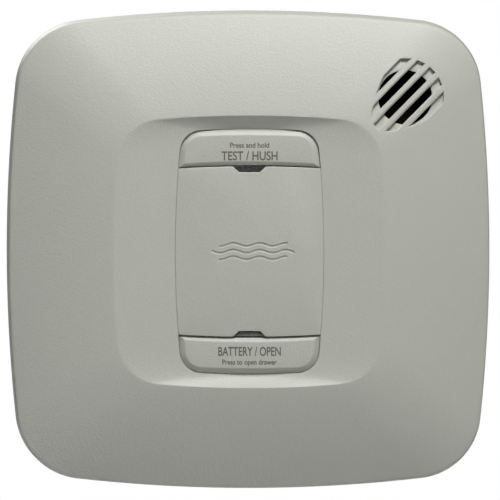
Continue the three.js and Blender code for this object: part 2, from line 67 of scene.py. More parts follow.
# ---- sizes taken from the frame -------------------------------
COVER_LOW, COVER_HIGH = span("front_cover")
DOOR_LOW, DOOR_HIGH = span("battery_door")
CAP_HIGH = span("test_button")[1]
HOUSING_LOW, HOUSING_HIGH = span("rear_housing")
PLATE_HIGH = span("mounting_plate")[1]

RIDGE_OUT = COVER_HIGH.z                # front-most line, round the recess
PARTING_OUT = COVER_LOW.z               # cover's rear edge
PANEL_OUT = DOOR_HIGH.z                 # face of the door
CAP_OUT = CAP_HIGH.z                    # face of the buttons
WALL = DOOR_HIGH.z - DOOR_LOW.z         # moulded wall
DOOR_END = DOOR_HIGH.y + 0.15           # middle of the gap between door and button
DRAFT = 0.65                            # taper of the cover's side wall
SHOULDER = 1.3                          # radius where the dome turns into the side wall
DOME_DROP = (6.55, 3.67)                # fall of the dome: linear and quadratic part
RAMP_HOLLOW = 0.45                      # how hollow the ramps above and below are
RAMP_DIP = 1.2                          # how far their feet lie below the door's face
RAMP_WIDTH, SLOPE_WIDTH = 4, 18         # the floor's width where it is all ramp and all plain slope
SEAM = 0.05                             # visible seam beside the door
CAP_GAP = 0.12                          # gap round a button
ARCH = 0.7                              # rise of the door's arched ends
NOTCH_WIDE, NOTCH_NARROW, NOTCH_DEEP = 5.15, 3.25, 1.8

# half width, half height, radius of the upright sides, radius of the level sides, corner radius
OUTER = (COVER_HIGH.x, COVER_HIGH.y, 499, 478, 21.8)
RECESS = (42.7, 42.7, 330, 330, 14)
OPENING = (DOOR_HIGH.x + SEAM + 0.02, CAP_HIGH.y + 0.1, 335, 345, 7.1)

GRILLE_AT = (48.85, 48.25)
GRILLE_PITCH, SLOT_WIDTH = 4.2, 2.28
GRILLE_UP, GRILLE_DOWN, GRILLE_HALF = 12.2, 13.1, 9.5
HORN_LEAN = math.radians(13)
HORN_OUT = 40.9
GRILLE_WALL = 1.3                       # thickness of the ribs between the slots
BAFFLE_HOLE, BAFFLE_RIM = 8.5, 13.2

COVER_COLOR = (0.520, 0.527, 0.472)
HOUSING_COLOR = (0.50, 0.505, 0.455)
CAMERA_REACH, HALF_VIEW = 4, 0.0788     # metres: camera to the alarm, half the view there
CAMERA_TURN = (-0.95, 1.8)              # degrees: to the right, and above
AIM_AT = face(0.55, -0.24, 18)
KEY_AT, KEY_WATTS, KEY_SPREAD = (0.13, -0.63, 0.94), 2.68, 80
REAR_AT, REAR_WATTS = (-0.5, 1.1, 0.7), 9
FLOOR_UP, WASH_UP, WASH_REACH, WASH_WATTS = -0.3, 0.9, 1.6, 5
AMBIENT = 0.07


# ---- outlines -------------------------------------------------
def inset(outline, distance):
    return tuple(max(value - distance, 0.3) for value in outline)


def corner_centre(outline):
    w, h, rx, ry, corner = outline
    x, up = w - corner, h - corner
    for _ in range(20):
        x = w - rx + math.sqrt((rx - corner) ** 2 - up ** 2)
        up = h - ry + math.sqrt((ry - corner) ** 2 - x ** 2)
    return x, up


def outline_points(outline, side_steps=18, corner_steps=16):
    """Four side arcs and four corner arcs, anticlockwise from the foot of the right side."""
    w, h, rx, ry, corner = outline
    x, up = corner_centre(outline)
    side = math.atan2(up, x - (w - rx))
    top = math.atan2(x, up - (h - ry))
    half = []

    def arc(cx, cy, radius, start, end, steps):
        for step in range(steps):
            angle = start + (end - start) * step / steps
            half.append((cx + radius * math.cos(angle), cy + radius * math.sin(angle)))

    quarter = math.pi / 2
    arc(w - rx, 0, rx, -side, side, side_steps)
    arc(x, up, corner, side, quarter - top, corner_steps)
    arc(0, h - ry, ry, quarter - top, quarter + top, side_steps)
    arc(-x, up, corner, quarter + top, math.pi - side, corner_steps)
    return half + [(-a, -b) for a, b in half]


def level(points, out):
    return [face(x, up, out) for x, up in points]


def spread(points, distance):
    """A closed outline moved outwards by a distance, with mitred corners."""
    wider = []
    count = len(points)
    for k, point in enumerate(points):
        before, after = Vector(points[k - 1]), Vector(points[(k + 1) % count])
        here = Vector(point)
        one, two = (here - before).normalized(), (after - here).normalized()
        one, two = Vector((one.y, -one.x)), Vector((two.y, -two.x))
        wider.append(tuple(here + (one + two) * distance / (1 + one.dot(two))))
    return wider


# ---- mesh tools -----------------------------------------------
def first_row(bm, points):
    row = [bm.verts.new(point) for point in points]
    for a, b in zip(row, row[1:] + row[:1]):
        bm.edges.new((a, b))
    return row


def row_edges(bm, row):
    return [bm.edges.get((a, b)) for a, b in zip(row, row[1:] + row[:1])]


def next_row(bm, row, points):
    """Extrudes a closed row of vertices and lays the new row on the points."""
    made = bmesh.ops.extrude_edge_only(bm, edges=row_edges(bm, row))["geom"]
    new = {vert for vert in made if isinstance(vert, bmesh.types.BMVert)}
    follow = []
    for vert in row:
        follow.append(next(e.other_vert(vert) for e in vert.link_edges if e.other_vert(vert) in new))
    for vert, point in zip(follow, points):
        vert.co = point
    return follow


def skin(bm, rows, start_cap=False, end_cap=False, ring=False):
    """A skin through rows of points, capped at its ends or closed into a ring."""
    row = first_row(bm, rows[0])
    begin = row
    for points in rows[1:]:
        row = next_row(bm, row, points)
    if start_cap:
        bm.faces.new(begin)
    if end_cap:
        bm.faces.new(row)
    if ring:
        bmesh.ops.bridge_loops(bm, edges=row_edges(bm, row) + row_edges(bm, begin))
    return row


def slab(bm, points, low, high):
    """A flat plate of that outline between two heights out from the wall."""
    return skin(bm, [level(points, low), level(points, high)], True, True)


def lathe(bm, profile, steps=48):
    """A profile of (radius, out) turned about the out axis."""
    row = [bm.verts.new(face(radius, 0, out)) for radius, out in profile]
    edges = [bm.edges.new(pair) for pair in zip(row, row[1:])]
    bmesh.ops.spin(bm, geom=row + edges, cent=(0, 0, 0), axis=(0, 1, 0), angle=2 * math.pi,
                   steps=steps, use_merge=True)
    bmesh.ops.remove_doubles(bm, verts=bm.verts, dist=1e-7)


def turned(bm, angle, axis):
    bmesh.ops.rotate(bm, cent=(0, 0, 0), matrix=Matrix.Rotation(angle, 3, axis), verts=bm.verts)


def moved(bm, way):
    bmesh.ops.translate(bm, vec=way, verts=bm.verts)


def rounded(bm, radius, segments=3, sharp=30):
    """Bevels every edge that turns by more than the sharp angle."""
    bmesh.ops.remove_doubles(bm, verts=bm.verts, dist=1e-7)
    bm.normal_update()
    edges = [e for e in bm.edges if e.is_manifold and e.calc_face_angle() > math.radians(sharp)]
    bmesh.ops.bevel(bm, geom=edges, offset=radius * MM, segments=segments, profile=0.5,
                    affect="EDGES", material=-1, clamp_overlap=True)


def finished(bm, name, smooth=35):
    """The mesh as an object, outward, smooth except at its sharp edges."""
    bmesh.ops.remove_doubles(bm, verts=bm.verts, dist=1e-7)
    bmesh.ops.recalc_face_normals(bm, faces=bm.faces)
    for edge in bm.edges:
        edge.smooth = not edge.is_manifold or edge.calc_face_angle() < math.radians(smooth)
    for polygon in bm.faces:
        polygon.smooth = True
    mesh = bpy.data.meshes.new(name)
    bm.to_mesh(mesh)
    bm.free()
    piece = bpy.data.objects.new(name, mesh)
    bpy.context.collection.objects.link(piece)
    return piece


def cut_away(piece, cutters, smooth=35):
    """Takes the cutters out of a piece and keeps the result as plain mesh."""
    for cutter in cutters:
        modifier = piece.modifiers.new("cut", "BOOLEAN")
        modifier.object = cutter
        modifier.solver = "MANIFOLD"
    bpy.context.view_layer.update()
    solid = bpy.data.meshes.new_from_object(piece.evaluated_get(bpy.context.evaluated_depsgraph_get()))
    piece.modifiers.clear()
    for cutter in cutters:
        bpy.data.objects.remove(cutter)
    bm = bmesh.new()
    bm.from_mesh(solid)
    name = piece.name
    bpy.data.objects.remove(piece)
    return finished(bm, name, smooth)


def place(piece, body, material, slot, *nodes):
    """Gives a finished piece its material and its body, and hides the CAD nodes that it stands for."""
    piece.data.materials.clear()
    piece.data.materials.append(material)
    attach(piece, body)
    if nodes:
        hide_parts(*nodes)
    return piece


# ---- cover ----------------------------------------------------
OPENING_ROW = outline_points(OPENING)
RIDGE_ROW = outline_points(RECESS)
SHOULDER_ROW = outline_points(inset(OUTER, DRAFT + SHOULDER * 0.617))


def between(inner, outer, t):
    return [tuple(Vector(a).lerp(Vector(b), t)) for a, b in zip(inner, outer)]


def floor_row(t):
    """One row of the recess floor: straight slopes at the sides, hollow ramps above and below."""
    row = []
    for inner, outer in zip(OPENING_ROW, RIDGE_ROW):
        width = (Vector(outer) - Vector(inner)).length
        share = min(max((width - RAMP_WIDTH) / (SLOPE_WIDTH - RAMP_WIDTH), 0), 1)
        near = 1 - share * share * (3 - 2 * share)
        hollow = RAMP_HOLLOW * near
        rise = (1 - hollow) * t + hollow * t * t
        start = PANEL_OUT - RAMP_DIP * near
        x, up = Vector(inner).lerp(Vector(outer), t)
        row.append(face(x, up, start + (RIDGE_OUT - start) * rise))
    return row


def shell_row(step, out):
    """The alarm's outer outline moved in by a step."""
    return level(outline_points(inset(OUTER, step)), out)


def dome_out(t):
    return RIDGE_OUT - DOME_DROP[0] * t - DOME_DROP[1] * t * t


def cover_rows():
    rows = [level(OPENING_ROW, PANEL_OUT - 4.2)]
    rows += [floor_row(t) for t in (0, 0.02, 0.1, 0.25, 0.4, 0.55, 0.7, 0.82, 0.92, 0.975)]
    for t in (0, 0.012, 0.06, 0.13, 0.2, 0.28, 0.36, 0.44, 0.52, 0.6, 0.68, 0.76, 0.84, 0.92, 0.98, 1):
        rounding = 0.03 if t == 0 else 0
        rows.append(level(between(RIDGE_ROW, SHOULDER_ROW, t), dome_out(t) - rounding))
    centre = dome_out(1) - SHOULDER * 0.924
    for angle in (54, 40, 27, 13, 0):
        turn = math.radians(angle)
        step = DRAFT + SHOULDER * (1 - math.cos(turn))
        rows.append(shell_row(step, centre + SHOULDER * math.sin(turn)))
    for share in (0.5, 0.98, 1):
        step = DRAFT * (1 - share) + (0.25 if share == 1 else 0)
        rows.append(shell_row(step, centre + (PARTING_OUT - centre) * share))
    return rows


def cover_lining():
    """Rows of the cover's inner face, from its rear edge back to the collar."""
    rows = [shell_row(WALL, PARTING_OUT), shell_row(WALL + DRAFT, dome_out(1) - WALL - 1)]
    for t in (0.9, 0.7, 0.5, 0.3, 0.1, 0):
        rows.append(level(between(RIDGE_ROW, SHOULDER_ROW, t), dome_out(t) - WALL - 0.1))
    collar = outline_points(inset(OPENING, -1.4))
    rows.append(level(collar, PANEL_OUT - WALL))
    rows.append(level(collar, PANEL_OUT - 4.2))
    return rows


def surface_finder(rows):
    """A function that gives how far out the cover's face is at a point."""
    bm = bmesh.new()
    skin(bm, rows)
    bmesh.ops.recalc_face_normals(bm, faces=bm.faces)
    tree = BVHTree.FromBMesh(bm)
    bm.free()

    def find(x, up):
        hit = tree.ray_cast(face(x, up, 80), Vector((0, 1, 0)))[0]
        return -hit.y / MM

    return find


def grille_slot(number):
    """Outline of one slot: its upper end on a circle, its lower end on a parabola."""
    middle = number * GRILLE_PITCH
    near, far = middle - SLOT_WIDTH / 2, middle + SLOT_WIDTH / 2
    across = [near + (far - near) * step / 6 for step in range(7)]
    points = [(-GRILLE_DOWN * (1 - (v / GRILLE_HALF) ** 2), -v) for v in across]
    points += [(math.sqrt(GRILLE_UP ** 2 - v * v), -v) for v in (far, near)]
    turn = math.pi / 4
    outline = []
    for along, aside in points:
        x = along * math.cos(turn) - aside * math.sin(turn)
        up = along * math.sin(turn) + aside * math.cos(turn)
        outline.append((GRILLE_AT[0] + x, GRILLE_AT[1] + up))
    return outline


def slot_cutter(outline, lip=0.36):
    """A prism through the wall whose mouth flares to round the slot's edge."""
    bm = bmesh.new()
    steps = [(0.3, lip + 0.15), (0, lip)]
    for angle in (22, 45, 67, 90):
        turn = math.radians(angle)
        steps.append((-lip * (1 - math.cos(turn)), lip * (1 - math.sin(turn))))
    rows = [level(spread(outline, lip + 0.15), RIDGE_OUT + 2)]
    for height, flare in steps:
        wide = spread(outline, flare)
        rows.append([face(x, up, COVER_FACE(x, up) + height) for x, up in wide])
    rows.append(level(outline, PANEL_OUT - 12))
    skin(bm, rows, True, True)
    return finished(bm, "cutter")


COVER_FACE = surface_finder(cover_rows())


def front_cover(material):
    bm = bmesh.new()
    skin(bm, cover_rows() + cover_lining(), ring=True)
    shell = finished(bm, "cover_shell")
    cutters = [grille_pocket()] + [slot_cutter(grille_slot(number)) for number in (-2, -1, 0, 1, 2)]
    shell = cut_away(shell, cutters, smooth=32)
    return place(shell, "alarm", material, "cover_plastic", "front_cover")


def cover_bosses(material):
    bm = bmesh.new()
    for number in (1, 2, 3, 4):
        low, high = span(f"cover_screw_{number}")
        x, up = (low.x + high.x) / 2, (low.y + high.y) / 2
        part = bmesh.new()
        profile = [(1.55, PARTING_OUT), (2.9, PARTING_OUT), (2.9, 33), (1.55, 33), (1.55, PARTING_OUT)]
        lathe(part, profile, 32)
        part.transform(Matrix.Translation(face(x, up, 0)))
        merge(bm, part)
    return place(finished(bm, "cover_screw_bosses"), "alarm", material, "cover_plastic")


def merge(bm, part):
    """Adds one working mesh to another."""
    mesh = bpy.data.meshes.new("part")
    part.to_mesh(mesh)
    part.free()
    bm.from_mesh(mesh)
    bpy.data.meshes.remove(mesh)


# ---- buttons and door -----------------------------------------
def arch(x):
    return DOOR_END - ARCH * (x / DOOR_HIGH.x) ** 2


def cap_row(outward, inward, out):
    """Barrel outline moved in by outward, closed below by the arched edge moved up by inward."""
    w, h, rx, ry, corner = inset(OPENING, CAP_GAP + outward)
    x, up = corner_centre((w, h, rx, ry, corner))
    side = math.atan2(up, x - (w - rx))
    top = math.atan2(x, up - (h - ry))
    foot = DOOR_END - ARCH + 0.15 + inward
    start = math.asin(foot / rx)
    right = []
    for step in range(5):
        angle = start + (side - start) * step / 5
        right.append((w - rx + rx * math.cos(angle), rx * math.sin(angle)))
    for step in range(10):
        angle = side + (math.pi / 2 - top - side) * step / 10
        right.append((x + corner * math.cos(angle), up + corner * math.sin(angle)))
    for step in range(9):
        angle = math.pi / 2 - top + top * step / 9
        right.append((ry * math.cos(angle), h - ry + ry * math.sin(angle)))
    left = [(-a, b) for a, b in reversed(right)]
    half = right[0][0]
    under = [half * (2 * step / 24 - 1) for step in range(1, 24)]
    lower = [(a, arch(a) + 0.15 + inward + (foot - 0.15 - inward - arch(half)) * (a / half) ** 2)
             for a in under]
    return level(right + [(0, h)] + left + lower, out)


def button_cap(bm):
    """A hollow cap: side wall, mitred chamfers, a crowned edge and a flat face."""
    step = 1.25
    rows = [cap_row(1.5, 1.5, CAP_OUT - 1.8), cap_row(1.5, 1.5, DOOR_LOW.z - 1)]
    rows += [cap_row(0, 0, DOOR_LOW.z - 1), cap_row(0, 0, CAP_OUT - step - 0.25)]
    rows += [cap_row(0.04, 0.04, CAP_OUT - step - 0.09), cap_row(0.16, 0.14, CAP_OUT - step)]
    rows += [cap_row(0.9, 0.66, CAP_OUT - step * 0.5), cap_row(1.62, 1.16, CAP_OUT - 0.1)]
    rows += [cap_row(1.8, 1.3, CAP_OUT - 0.02), cap_row(2.05, 1.55, CAP_OUT)]
    skin(bm, rows, True, True)


def half_turn(bm):
    """The lower button is the upper one turned half round."""
    turned(bm, math.pi, "Y")


def bar(bm, low, high):
    """A plain bar between two corners seen from the front, in mm."""
    low, high = Vector(low), Vector(high)
    middle, size = (low + high) / 2, high - low
    grow = Matrix.Diagonal((size.x * MM, size.z * MM, size.y * MM, 1))
    bmesh.ops.create_cube(bm, size=1, matrix=Matrix.Translation(face(*middle)) @ grow)


def test_button(material):
    bm = bmesh.new()
    button_cap(bm)
    low = span("test_button")[0]
    part = bmesh.new()
    bar(part, (-3, 31.2, low.z), (3, 34.2, CAP_OUT - 1.8))
    rounded(part, 0.3)
    merge(bm, part)
    return place(finished(bm, "test_button_cap"), "test_button", material, "cover_plastic", "test_button")


def eject_button(material):
    bm = bmesh.new()
    button_cap(bm)
    part = bmesh.new()
    low = span("eject_button")[0]
    bar(part, (-4.5, 32.5, low.z), (4.5, 35.5, CAP_OUT - 1.8))
    foot = [e for e in part.edges if all(-v.co.y / MM < low.z + 0.1 for v in e.verts)]
    outer = [e for e in foot if all(v.co.z / MM > 35 for v in e.verts)]
    bmesh.ops.bevel(part, geom=outer, offset=1.5 * MM, segments=1, profile=0.5,
                    affect="EDGES", material=-1)
    merge(bm, part)
    half_turn(bm)
    return place(finished(bm, "eject_button_cap"), "eject_button", material, "cover_plastic",
                 "eject_button")


def door_outline(shrink):
    """Barrel sides, arched ends and a notch in each end."""
    half_width, rx = DOOR_HIGH.x + 0.02 - shrink, OPENING[2]
    end = DOOR_END - ARCH - 0.15 - shrink
    side = math.asin(end / rx)
    points = []
    for step in range(21):
        angle = -side + 2 * side * step / 20
        points.append((half_width - rx + rx * math.cos(angle), rx * math.sin(angle)))
    corner = points[-1][0]
    wide, narrow = NOTCH_WIDE + shrink, NOTCH_NARROW + shrink
    reach = [corner + (wide - corner) * step / 7 for step in range(1, 8)]
    top = [(x, arch(x) - 0.15 - shrink) for x in reach]
    floor = DOOR_END - 0.15 - NOTCH_DEEP - shrink
    top += [(narrow, floor), (-narrow, floor)]
    top += [(-x, up) for x, up in reversed(top[:7])]
    points += top[:-1]
    return points + [(-x, -up) for x, up in points]


def wave_cutter(row):
    """Cutter of one engraved wave of moving air, a plain generic mark."""
    bm = bmesh.new()
    length = 12.9 - abs(row) * 2.2
    ridge = []
    for step in range(61):
        x = length * (step / 30 - 1)
        ridge.append((x + 1.1, row * 2.1 + 0.5 * math.sin(x * 2 * math.pi / 8.2)))
    outline = [(x, up - 0.4) for x, up in ridge] + [(x, up + 0.4) for x, up in reversed(ridge)]
    rows = [level(spread(outline, -0.1), PANEL_OUT - 0.26), level(outline, PANEL_OUT - 0.18),
            level(outline, PANEL_OUT - 0.06), level(spread(outline, 0.12), PANEL_OUT + 0.06)]
    skin(bm, rows, True, True)
    return finished(bm, "cutter")


def battery_door(material):
    bm = bmesh.new()
    lip = 0.22
    rows = [level(door_outline(0), DOOR_LOW.z), level(door_outline(0), PANEL_OUT - lip)]
    for angle in (30, 60, 90):
        turn = math.radians(angle)
        shrink = lip * (1 - math.cos(turn))
        rows.append(level(door_outline(shrink), PANEL_OUT - lip * (1 - math.sin(turn))))
    skin(bm, rows, True, True)
    door = cut_away(finished(bm, "battery_door_panel"), [wave_cutter(row) for row in (-1, 0, 1)])
    return place(door, "battery_drawer", material, "cover_plastic", "battery_door")


def lettering(name, words, height, width, baseline, body, material, slot):
    """Generic printed words, a hair proud of a button's face."""
    curve = bpy.data.curves.new(name, "FONT")
    curve.body = words
    curve.size = height / 0.7
    curve.align_x = "CENTER"
    curve.resolution_u = 6
    curve.extrude = 0.012
    curve.offset = 0.05 * height / 2.75 + 0.02
    text = bpy.data.objects.new(name, curve)
    bpy.context.collection.objects.link(text)
    bpy.context.view_layer.update()
    mesh = bpy.data.meshes.new_from_object(text.evaluated_get(bpy.context.evaluated_depsgraph_get()))
    bpy.data.objects.remove(text)
    bm = bmesh.new()
    bm.from_mesh(mesh)
    bpy.data.meshes.remove(mesh)
    low, high = min(v.co.x for v in bm.verts), max(v.co.x for v in bm.verts)
    moved(bm, (-(low + high) / 2, 0, 0))
    bmesh.ops.scale(bm, vec=(MM * width / (high - low), MM, MM), verts=bm.verts)
    turned(bm, math.pi / 2, "X")
    moved(bm, face(0, baseline, CAP_OUT + 0.012))
    return place(finished(bm, name), body, material, slot)


# ---- rear housing and mounting plate --------------------------
HOOK_CIRCLE, HOOK_PLACES, HOOK_HALF, HOOK_TURN = 52, (90, 210, 330), 3.5, 15


def sector(inner, outer, start, end, steps=24):
    """Outline of a piece of a ring, between two angles in degrees."""
    turns = [math.radians(start + (end - start) * step / steps) for step in range(steps + 1)]
    points = [(outer * math.cos(turn), outer * math.sin(turn)) for turn in turns]
    return points + [(inner * math.cos(turn), inner * math.sin(turn)) for turn in reversed(turns)]


def block_cutter(low, high, radius=0.4):
    bm = bmesh.new()
    bar(bm, low, high)
    rounded(bm, radius, 3)
    return finished(bm, "cutter")


def drill(x, up, radius, low, high, steps=32):
    bm = bmesh.new()
    lathe(bm, [(0, low), (radius, low), (radius, high), (0, high)], steps)
    bm.transform(Matrix.Translation(face(x, up, 0)))
    return finished(bm, "cutter")


def middle_of(node):
    low, high = span(node)
    return (low + high) / 2


def side_vents():
    """Cutters of the rows of vent slots through the housing's four side walls."""
    cutters = []
    for axis in (0, 1):
        for sign in (1, -1):
            bm = bmesh.new()
            for step in range(-4, 5):
                part = bmesh.new()
                ends = sorted((sign * 69, sign * 79))
                low, high = [step * 6 - 1.2, step * 6 - 1.2, 7.6], [step * 6 + 1.2, step * 6 + 1.2, 11.4]
                low[axis], high[axis] = ends
                bar(part, low, high)
                rounded(part, 0.7, 4)
                merge(bm, part)
            cutters.append(finished(bm, "cutter"))
    return cutters


def rear_housing(material):
    back, edge = HOUSING_LOW.z, HOUSING_HIGH.z
    bm = bmesh.new()
    heel = 2.7                          # radius of the rear edge
    rows = [shell_row(1.5 + heel, back)]
    for angle in (15, 30, 45, 60, 75, 90):
        turn = math.radians(angle)
        rows.append(shell_row(1.5 + heel * (1 - math.sin(turn)), back + heel * (1 - math.cos(turn))))
    for step, out in ((0.75, edge - 1.2), (1.15, edge - 1), (1.15, edge), (3, edge),
                      (1.5 + heel, back + 3), (5, back + WALL)):
        rows.append(shell_row(step, out))
    skin(bm, rows, True, True)
    shell = finished(bm, "rear_housing_shell")
    inlet_low, inlet_high = span("inlet_housing")
    cutters = side_vents()
    cutters.append(block_cutter((inlet_low.x - 0.3, inlet_low.y - 0.3, back - 3),
                                (inlet_high.x + 0.3, inlet_high.y + 0.3, back + 5)))
    for number in (1, 2, 3, 4):
        screw = middle_of(f"cover_screw_{number}")
        cutters.append(drill(screw.x, screw.y, 2.9, back - 1, back + 2.5))
        cutters.append(drill(screw.x, screw.y, 1.6, back - 1, edge + 1))
    for place_angle in HOOK_PLACES:
        far = place_angle - HOOK_TURN
        for half, start, end in ((1.75, far - HOOK_HALF - 1, place_angle + HOOK_HALF + 1),
                                 (3.5, far - HOOK_HALF - 1.4, far + HOOK_HALF + 1)):
            bm = bmesh.new()
            slab(bm, sector(HOOK_CIRCLE - half, HOOK_CIRCLE + half, start, end), back - 1, back + 5)
            cutters.append(finished(bm, "cutter"))
    shell = cut_away(shell, cutters)
    return place(shell, "alarm", material, "housing_plastic", "rear_housing")


def housing_bosses(material):
    """The four screw bosses and four board posts that stand on the housing's floor."""
    bm = bmesh.new()
    floor = HOUSING_LOW.z + WALL
    for number in (1, 2, 3, 4):
        for node, outer, inner, top in (("cover_screw", 3.5, 1.6, HOUSING_HIGH.z - 0.3),
                                        ("board_screw", 2.8, 1.2, span("circuit_board")[0].z - 0.3)):
            middle = middle_of(f"{node}_{number}")
            part = bmesh.new()
            start = floor + 0.55 if node == "cover_screw" else floor + 0.01
            lathe(part, [(inner, start), (outer, start), (outer, top - 0.3), (outer - 0.3, top),
                         (inner, top), (inner, start)], 28)
            part.transform(Matrix.Translation(face(middle.x, middle.y, 0)))
            merge(bm, part)
    return place(finished(bm, "housing_bosses"), "alarm", material, "housing_plastic")


def mounting_plate(material):
    front = 2.4
    bm = bmesh.new()
    outline = (PLATE_HIGH.x, PLATE_HIGH.y, 900, 900, 16)
    rows = [level(outline_points(inset(outline, 0.3)), 0), level(outline_points(outline), 0.3)]
    rows += [level(outline_points(outline), front - 0.3), level(outline_points(inset(outline, 0.3)), front)]
    skin(bm, rows, True, True)
    plate = finished(bm, "mounting_plate_body")
    cutters = [block_cutter((-23, low, -2), (23, low + 24, 4), 2) for low in (8, -32)]
    cutters += [block_cutter((-6, up - 2.3, -3), (6, up + 2.3, 5), 2.2) for up in (41.65, -41.65)]
    cutters += [block_cutter((x - 2.3, -6, -3), (x + 2.3, 6, 5), 2.2) for x in (44.45, -44.45)]
    plate = cut_away(plate, cutters)
    bm = bmesh.new()
    bm.from_mesh(plate.data)
    bpy.data.objects.remove(plate)
    for angle in HOOK_PLACES:
        for half, low, high in ((1.3, front - 0.2, 6.9), (2.9, 5.3, 6.9)):
            part = bmesh.new()
            arc = sector(HOOK_CIRCLE - half, HOOK_CIRCLE + half, angle - HOOK_HALF, angle + HOOK_HALF)
            slab(part, arc, low, high)
            merge(bm, part)
    return place(finished(bm, "mounting_plate_body"), "mounting_plate", material, "housing_plastic",
                 "mounting_plate")


# ---- horn, lenses and lamps -----------------------------------
def leaning(bm):
    """Leans a part made on the out axis with the dome, under the grille."""
    axis = Vector((-1, 0, 1))
    turned(bm, HORN_LEAN, axis)
    moved(bm, face(*GRILLE_AT, HORN_OUT))


def grille_ring(radius, depth):
    """A circle round the grille's middle, that far below the cover's face."""
    points = []
    for step in range(72):
        turn = 2 * math.pi * step / 72
        x, up = GRILLE_AT[0] + radius * math.cos(turn), GRILLE_AT[1] + radius * math.sin(turn)
        points.append(face(x, up, COVER_FACE(x, up) - depth))
    return points


def horn_baffle(material):
    """The plate with a round hole close behind the slots, curved like the dome."""
    bm = bmesh.new()
    hole, rim = BAFFLE_HOLE, BAFFLE_RIM
    rows = [grille_ring(hole, 2.6), grille_ring(hole, GRILLE_WALL + 0.35)]
    rows += [grille_ring(hole + 0.08, GRILLE_WALL + 0.14), grille_ring(hole + 0.3, GRILLE_WALL + 0.04)]
    rows += [grille_ring(radius, GRILLE_WALL + 0.04) for radius in (10, 11.5, rim)]
    rows += [grille_ring(rim, 2.2), grille_ring(11, 2.6)]
    skin(bm, rows, ring=True)
    return place(finished(bm, "horn_baffle_plate"), "alarm", material, "cover_plastic", "horn_baffle")


def grille_pocket():
    """Cutter that thins the cover behind the slots, so that the baffle sits close to them."""
    bm = bmesh.new()
    rows = [level([(GRILLE_AT[0] + (BAFFLE_RIM + 0.1) * math.cos(turn),
                    GRILLE_AT[1] + (BAFFLE_RIM + 0.1) * math.sin(turn))
                   for turn in (2 * math.pi * step / 72 for step in range(72))], 28)]
    rows += [grille_ring(radius, GRILLE_WALL) for radius in (BAFFLE_RIM + 0.1, 11, 8, 5, 2, 0.4)]
    skin(bm, rows, True, True)
    return finished(bm, "cutter")


def horn_housing(material):
    bm = bmesh.new()
    lathe(bm, [(0, -17), (13.1, -17), (13.5, -16.6), (13.5, -6.1), (9.3, -6.1), (9.15, -6.25),
               (9.15, -7.2), (12.3, -7.2), (12.3, -15.8), (0, -15.8)], 72)
    leaning(bm)
    return place(finished(bm, "horn_chamber"), "alarm", material, "black_plastic", "horn_housing")


def horn_collar(material):
    """A raised black ring inside the chamber, round the sounder disc."""
    bm = bmesh.new()
    lathe(bm, [(8, -12.6), (8, -11.2), (7.6, -10.9), (7.2, -11.2), (7.2, -12.6), (8, -12.6)], 64)
    leaning(bm)
    return place(finished(bm, "horn_collar"), "alarm", material, "black_plastic")


def piezo_disc(material):
    bm = bmesh.new()
    lathe(bm, [(0, -13.9), (11.8, -13.9), (11.9, -13.8), (11.9, -13.5), (11.8, -13.4), (8.1, -13.4),
               (8, -13.1), (0, -13.1)], 72)
    leaning(bm)
    return place(finished(bm, "piezo_disc_plate"), "alarm", material, "horn_brass", "piezo_disc")


def notch_lens(name, node, material, lower):
    low, high = span(node)
    top, floor = DOOR_END - 0.25, DOOR_END - NOTCH_DEEP + 0.15
    bm = bmesh.new()
    outline = [(NOTCH_NARROW - 0.1, floor), (NOTCH_WIDE - 0.5, top), (-NOTCH_WIDE + 0.5, top),
               (-NOTCH_NARROW + 0.1, floor)]
    face_out = high.z
    rows = [level(outline, low.z), level(outline, face_out - 0.25)]
    rows += [level(spread(outline, -0.08), face_out - 0.08), level(spread(outline, -0.25), face_out)]
    skin(bm, rows, True, True)
    if lower:
        half_turn(bm)
    return place(finished(bm, name), "alarm", material, "smoked_lens", node)


def lamp(name, node, material, slot_name):
    middle = middle_of(node)
    low, high = span(node)
    bm = bmesh.new()
    dome = [(1.35 * math.cos(turn), high.z - 1.35 + 1.35 * math.sin(turn))
            for turn in (math.radians(step * 9) for step in range(10))]
    foot = [(0, low.z), (1.46, low.z), (1.46, low.z + 0.6), (1.35, low.z + 0.65)]
    lathe(bm, foot + dome + [(0, high.z)], 32)
    moved(bm, face(0, middle.y, 0))
    return place(finished(bm, name), "alarm", material, slot_name, node)


# ---- springs --------------------------------------------------
def coil(name, node, radius, wire, turns, along, body, material, joint=None):
    """A compression spring that fills its CAD solid's box, along the out or the up axis."""
    low, high = span(node)
    length = (high.z - low.z) if along == "out" else (high.y - low.y)
    bm = bmesh.new()
    ring = []
    for step in range(10):
        angle = 2 * math.pi * step / 10
        offset = Vector((math.cos(angle), 0, math.sin(angle))) * wire / 2
        ring.append(bm.verts.new(face(radius + offset.x, 0, wire / 2 + offset.z)))
    loop = bm.faces.new(ring)
    steps = int(turns * 28)
    rise = (length - wire) / steps
    bmesh.ops.spin(bm, geom=[loop], cent=(0, 0, 0), axis=(0, 1, 0), dvec=face(0, 0, rise),
                   angle=2 * math.pi * turns, steps=steps, use_merge=False)
    if along == "up":
        turned(bm, math.pi / 2, "X")
        lowest = min(vert.co.z for vert in bm.verts)
        start = Vector(((low.x + high.x) / 2 * MM, -(low.z + high.z) / 2 * MM, low.y * MM - lowest))
    else:
        start = face((low.x + high.x) / 2, (low.y + high.y) / 2, low.z)
    moved(bm, start)
    bmesh.ops.holes_fill(bm, edges=bm.edges)
    piece = place(finished(bm, name, 50), body, material, "spring_steel", node)
    if joint:
        axis, anchor = ((0, 1, 0), face(0, 0, low.z)) if along == "out" else ((0, 0, 1), face(0, low.y, 0))
        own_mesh(piece)
    return piece


